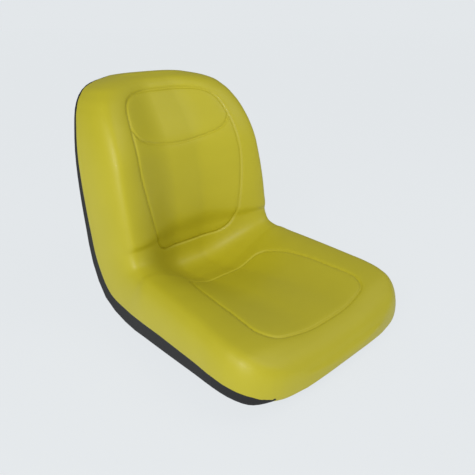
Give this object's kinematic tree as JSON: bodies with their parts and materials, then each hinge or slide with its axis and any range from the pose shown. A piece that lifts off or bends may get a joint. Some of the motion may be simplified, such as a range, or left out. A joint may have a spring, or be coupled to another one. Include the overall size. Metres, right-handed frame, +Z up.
{
  "type": "riding mower seat",
  "caption": "High-back bucket seat for a riding mower, padded one-piece cushion in a black pan, on adjuster rails with a latch lever and a seat switch.",
  "frame": {"origin": "centre of the four mounting holes, on the underside of the lower rails", "axes": "+Z up, -Y the way the sitter faces, +X the sitter's left"},
  "size_m": [0.469, 0.5835, 0.493],
  "materials": {
    "cover": "satin yellow-green vinyl",
    "foam": "moulded urethane foam",
    "pan": "black moulded plastic, fine texture",
    "rail": "black paint on pressed steel",
    "zinc": "zinc plated",
    "nylon": "natural nylon",
    "grip": "black moulded grip",
    "spring": "spring wire",
    "switch": "black moulded plastic",
    "blade": "plain",
    "plunger": "off-white acetal"
  },
  "bodies": {
    "rails_base": {"lower_rail_left": "rail", "lower_rail_right": "rail", "stop_rivets": "zinc"},
    "seat": {"seat_cover": "cover", "seat_foam": "foam", "seat_pan": "pan", "upper_rail_left": "rail", "upper_rail_right": "rail", "nylon_glides": "nylon", "pan_bolts": "zinc", "pan_nuts": "zinc", "latch_bracket": "rail", "latch_rivet": "zinc", "switch_housing": "switch", "switch_blades": "blade", "switch_ring": "switch"},
    "latch": {"latch_lever": "rail", "lever_grip": "grip", "latch_spring": "spring"},
    "button": {"switch_plunger": "plunger", "switch_spring": "spring"}
  },
  "joints": [
    {"name": "seat_slide", "type": "slide", "parent": "rails_base", "child": "seat", "axis": [0, -1, 0], "range_m": [-0.072, 0.072]},
    {"name": "latch_turn", "type": "hinge", "parent": "seat", "child": "latch", "pos_m": [0.179, 0.045, 0.0095], "axis": [0, 0, 1], "range_deg": [-2.5, 7], "stiffness_Nm_per_rad": 1},
    {"name": "button_press", "type": "slide", "parent": "seat", "child": "button", "axis": [0, 0, -1], "range_m": [0, 0.006], "stiffness_N_per_m": 400, "springref_m": -0.002, "deforming": ["switch_spring"]}
  ]
}
